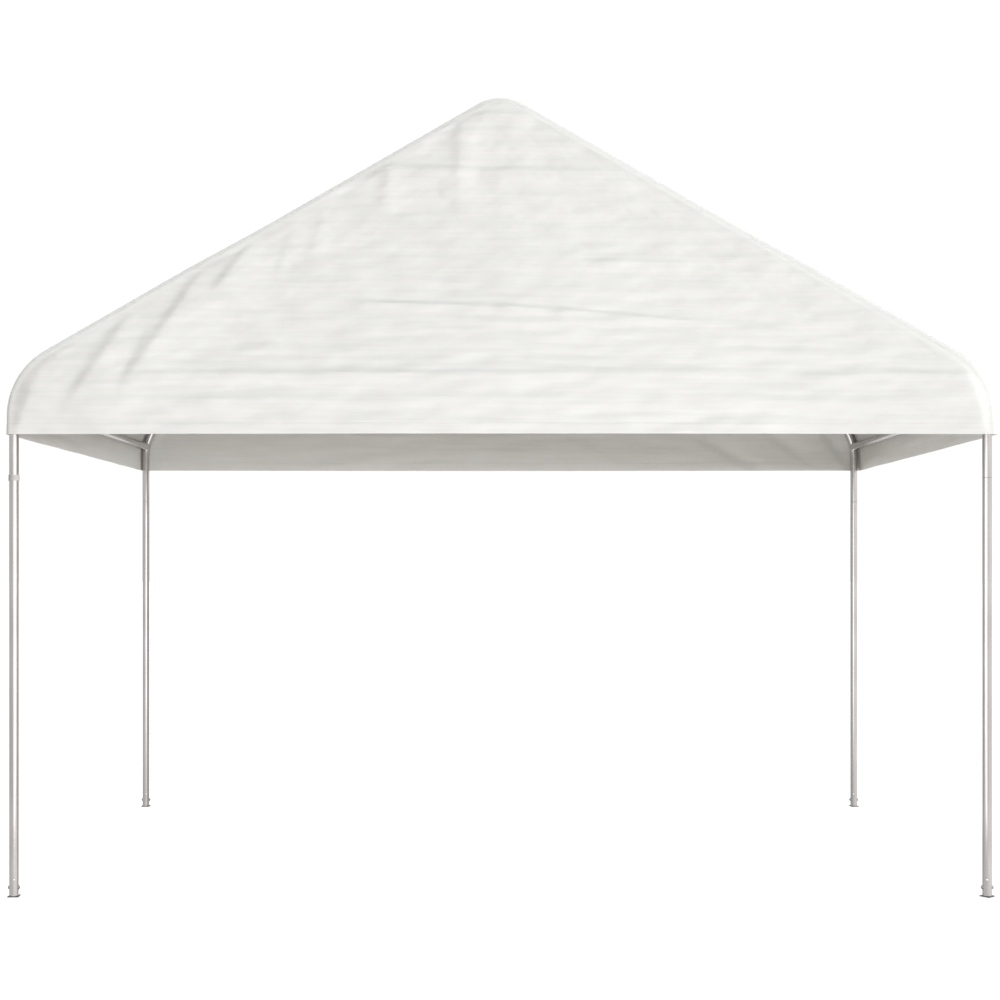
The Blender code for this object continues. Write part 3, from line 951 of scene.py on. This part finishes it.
def roof_points(key, cover, along):
    """The roof and both side valances as lines from front to back, one for each place on the section.

    Each line turns a quarter circle up over the front tube, runs level to the back, and turns down
    again; it is moved out along the section's normal by its relief. Returns the points and uv.
    """
    side = np.where(along <= key.half, 1.0, -1.0)
    rise = np.minimum(along, 2 * key.half - along)
    x, z, normal_x, normal_z = sheet_line(key, cover, rise, side)
    wrap = TUBE_R + cover.clearance
    turn = np.linspace(0, pi / 2, WRAP_STEPS + 1)[:-1]
    level = np.linspace(-LEG_Y, LEG_Y, ROOF_LINES)
    out, up, unrolled = wrap * np.cos(turn), wrap * np.sin(turn), wrap * (pi / 2 - turn)
    y = np.concatenate([-LEG_Y - out, level, LEG_Y + out[::-1]])
    flat_y = np.concatenate([-LEG_Y - unrolled, level, LEG_Y + unrolled[::-1]])
    lift = np.concatenate([up, np.full(ROOF_LINES, wrap), up[::-1]])
    lift = lift + roof_relief(key, cover, rise[:, None], y, side[:, None])
    normal = stacked(normal_x, 0.0, normal_z)
    points = stacked(x[:, None], y, z[:, None]) + lift[..., None] * normal[:, None]
    return points, stacked(flat_y, along[:, None])


def hem_loop(key, cover, rise):
    """The sheet's lowest part as closed level loops, one for each distance above the hem.

    Each runs along the front gable, the right side, the back gable and the left side. Returns the
    points, the outward directions and the distances along the loop.
    """
    front, back = [gable_points(key, cover, rise, gable_columns(HEM_COLUMNS), end) for end in (-1, 1)]
    right = roof_points(key, cover, rise)[0]
    left = roof_points(key, cover, 2 * key.half - rise)[0]
    loop = np.concatenate([front[:, :-1], right[:, :-1], back[:, :0:-1], left[:, ::-1]], axis=1)
    ahead = np.roll(loop[:, :-1], -1, axis=1) - np.roll(loop[:, :-1], 1, axis=1)
    ahead = np.concatenate([ahead, ahead[:, :1]], axis=1)
    outward = stacked(ahead[..., 1], -ahead[..., 0], 0.0)
    outward = outward / np.linalg.norm(outward, axis=-1, keepdims=True)
    steps = np.linalg.norm(np.diff(loop[0], axis=0), axis=-1)
    return loop, outward, np.concatenate([[0], np.cumsum(steps)])


class GAZEBO_OT_cover(Operator):
    """The sewn sheet over roof and gables, as one continuous surface"""

    bl_idname = "gazebo.cover"
    bl_label = "Cover"

    def execute(self, context):
        cover = context.scene.gazebo_cover
        key = section_key(context.scene.gazebo_frame)
        rise = half_stations(key)
        surfaces = [roof_points(key, cover, np.concatenate([rise, 2 * key.half - rise[-2::-1]]))]
        for end_y, (*_, columns) in GABLES.items():
            gable = gable_points(key, cover, rise, gable_columns(columns), end_y)
            surfaces.append((gable, gable[..., ::2]))
        sheet = woven_sheet(cover, "coated_woven_polyethylene")
        roof = ("roof_sheet_left", "roof_sheet_right", "gable_sheet_front", "gable_sheet_back")
        piece = add_piece("canopy_cover", surfaces, sheet, "canopy_sheet", *roof)
        face_up(piece.data)
        hem = self.add_hem(key, cover)
        rests = [f"rafter_{corner}" for corner in CORNERS]
        rests += ["ridge_purlin", "eave_purlin_left", "eave_purlin_right"]
        return {"FINISHED"}

    def add_hem(self, key, cover):
        """The turned-up hem: a flat band round the sheet's lower edge, rounded at the fold.

        Its profile goes up the outside and down the inside: how far up in millimetres, and how far
        out from the sheet as a share of half the hem's thickness.
        """
        full = 45
        outside = [(-0.8, 0.75), (1.0, 1.0), (15, 1.05), (30, 1.0), (38.5, 0.95), (43, 0.15), (full, -0.5)]
        inside = [(full, -0.9), (30, -1.0), (15, -1.05), (1.0, -1.0), (-0.8, -0.75)]
        profile = np.array([(-1.2, 0), *outside, *inside, (-1.2, 0)])
        height = profile[:, 0] * cover.hem / full
        loop, outward, along = hem_loop(key, cover, np.clip(height, 0, None))
        points = loop + cover.hem_thickness / 2 * profile[:, 1, None, None] * outward
        points[..., 2] += np.clip(height, None, 0)[:, None]
        uv = stacked(along, height[:, None])
        material = woven_sheet(cover, "stitched_polyethylene_hem", stitched=True)
        return add_piece("hem_band", [(points, uv)], material, "canopy_sheet")


def studio_world(studio):
    """Soft surroundings, with plain white behind everything.

    What they light gets a bright warm ground, and a sky that is brighter behind than in front.
    What mirrors them gets even grey-white walls, brighter at the right, over a dimmer floor.
    """
    world = bpy.data.worlds.new("studio")
    bpy.context.scene.world = world
    world.use_nodes = True
    tree = world.node_tree
    tree.nodes.clear()
    axes = add_node(tree, "SeparateXYZ", add_node(tree, "TexCoord").outputs["Generated"]).outputs
    ray = add_node(tree, "LightPath").outputs
    sky = add_node(tree, "MapRange", axes["Y"], -0.4, 0.5, studio.sky_front, studio.sky_back)
    walls = add_node(tree, "MapRange", axes["X"], -0.5, 0.5, *studio.walls)
    floor = add_node(tree, "MapRange", axes["Z"], -0.75, -0.35, studio.mirrored_floor, 1.0)
    room = add_node(tree, "Math", walls, floor, operation="MULTIPLY")
    above = add_node(tree, "MapRange", axes["Z"], -0.15, 0.15)
    ground_light = add_node(tree, "Background", (*studio.ground_tint, 1), studio.ground)
    sky_light = add_node(tree, "Background", PURE_WHITE, sky)
    room_light = add_node(tree, "Background", (1, 0.985, 0.98, 1), room)
    backdrop = add_node(tree, "Background", PURE_WHITE, 1.05)
    lit = add_node(tree, "MixShader", above, ground_light, sky_light)
    mirrored = add_node(tree, "MixShader", ray["Is Glossy Ray"], lit, room_light)
    seen = add_node(tree, "MixShader", ray["Is Camera Ray"], mirrored, backdrop)
    add_node(tree, "OutputWorld", seen)


def glowing(name, colour, **values):
    """A matt material that also glows in white."""
    return new_material(name, Base_Color=linear(colour), Emission_Color=PURE_WHITE, **values)[0]


def add_stage(name, points, material, unseen_by):
    """Puts a surface on the stage, unseen by some kinds of ray."""
    mesh = surface_mesh(name, [(points, points[..., :2])])
    face_up(mesh)
    mesh.materials.append(material)
    item = add_object(name, mesh)
    for ray in unseen_by:
        setattr(item, f"visible_{ray}", False)


def studio_floor():
    """Matt white studio floor, lit from within so that shadows stay faint on it."""
    angle = np.linspace(0, 2 * pi, 97)
    reach = np.array([0, 3, 8, 30, 120])[:, None]
    below = -0.0006
    points = stacked(reach * np.cos(angle), reach * np.sin(angle), below)
    material = glowing("white_studio_floor", "CFCFCF", Roughness=0.9, Emission_Strength=0.8)
    add_stage("studio_floor", points, material, ("diffuse", "glossy", "shadow"))


def studio_card():
    """A grey card down the middle, seen only in the tubes, which shades their inner edges a little."""
    y = np.array([[-1.0, 5.0]])
    z = np.array([[-0.6], [1.9]])
    material = glowing("dark_card", "000000", Roughness=1.0, Emission_Strength=0.56)
    add_stage("dark_card", stacked(0.0, y, z), material, ("camera", "diffuse", "shadow"))


def studio_lamp(name, kind, at, towards, energy, glossy=False, **settings):
    """Adds a lamp that the camera doesn't see, aimed from one place towards another."""
    light = bpy.data.lights.new(name, kind)
    light.energy = energy
    for setting, value in settings.items():
        setattr(light, setting, value)
    lamp = add_object(name, light)
    lamp.location = at
    lamp.rotation_euler = (Vector(towards) - Vector(at)).to_track_quat("-Z", "Y").to_euler()
    lamp.visible_camera = False
    lamp.visible_diffuse = not glossy
    lamp.visible_glossy = glossy


class GAZEBO_OT_studio(Operator):
    """Floor, light and camera"""

    bl_idname = "gazebo.studio"
    bl_label = "Studio"

    def execute(self, context):
        studio = context.scene.gazebo_studio
        studio_world(studio)
        studio_floor()
        studio_card()
        suns = {
            "key": ((7.2, -6.0, 0.5), studio.key, 14),
            "top": ((-4.2, 1.75, 5.3), studio.top, 20),
            "rear": ((-6.0, 7.0, -0.4), studio.rear, 20),
        }
        for name, (at, energy, spread_angle) in suns.items():
            studio_lamp(name, "SUN", at, (0, 0, 0), energy, angle=radians(spread_angle))
        studio_lamp("low_fill", "AREA", (3.0, -7.4, 0.8), (0, 0, 2.0), 50, shape="DISK", size=2)
        panel = {"shape": "RECTANGLE", "size": 3.36, "size_y": 1.96}
        studio_lamp("softbox", "AREA", (-0.03, -2.35, 1.02), (-0.03, 0, 1.02), 29, True, **panel)
        camera = bpy.data.cameras.new("camera")
        camera.sensor_width = 36
        camera.lens = studio.lens
        camera.shift_x, camera.shift_y = studio.shift
        camera.clip_end = 400
        holder = add_object("camera", camera)
        holder.location = studio.camera_at
        holder.rotation_euler = (pi / 2, 0, 0)
        context.scene.camera = holder
        context.scene.view_settings.view_transform = "Standard"
        return {"FINISHED"}


class GAZEBO_PT_panel(Panel):
    """Lists the steps that build the gazebo"""

    bl_idname = "GAZEBO_PT_panel"
    bl_label = "Garden gazebo"
    bl_space_type = "VIEW_3D"
    bl_region_type = "UI"
    bl_category = "Gazebo"

    def draw(self, context):
        for group in ("gazebo_frame", "gazebo_cover", "gazebo_studio"):
            settings = getattr(context.scene, group)
            box = self.layout.box()
            for name in settings.__annotations__:
                box.prop(settings, name)
        for operator in OPERATORS:
            self.layout.operator(operator.bl_idname)


OPERATORS = (
    GAZEBO_OT_studio,
    GAZEBO_OT_feet,
    GAZEBO_OT_legs,
    GAZEBO_OT_fasteners,
    GAZEBO_OT_band,
    GAZEBO_OT_gable_frames,
    GAZEBO_OT_purlins,
    GAZEBO_OT_cover,
)
GROUPS = {"gazebo_frame": FrameSettings, "gazebo_cover": CoverSettings, "gazebo_studio": StudioSettings}


def register():
    for name, group in GROUPS.items():
        bpy.utils.register_class(group)
        setattr(bpy.types.Scene, name, bpy.props.PointerProperty(type=group))
    for operator in OPERATORS:
        bpy.utils.register_class(operator)
    bpy.utils.register_class(GAZEBO_PT_panel)


def unregister():
    bpy.utils.unregister_class(GAZEBO_PT_panel)
    for operator in reversed(OPERATORS):
        bpy.utils.unregister_class(operator)
    for name, group in GROUPS.items():
        delattr(bpy.types.Scene, name)
        bpy.utils.unregister_class(group)


def main():
    """Builds the pieces in order."""
    register()
    for operator in OPERATORS:
        family, action = operator.bl_idname.split(".")
        getattr(getattr(bpy.ops, family), action)()


if __name__ == "__main__":
    main()
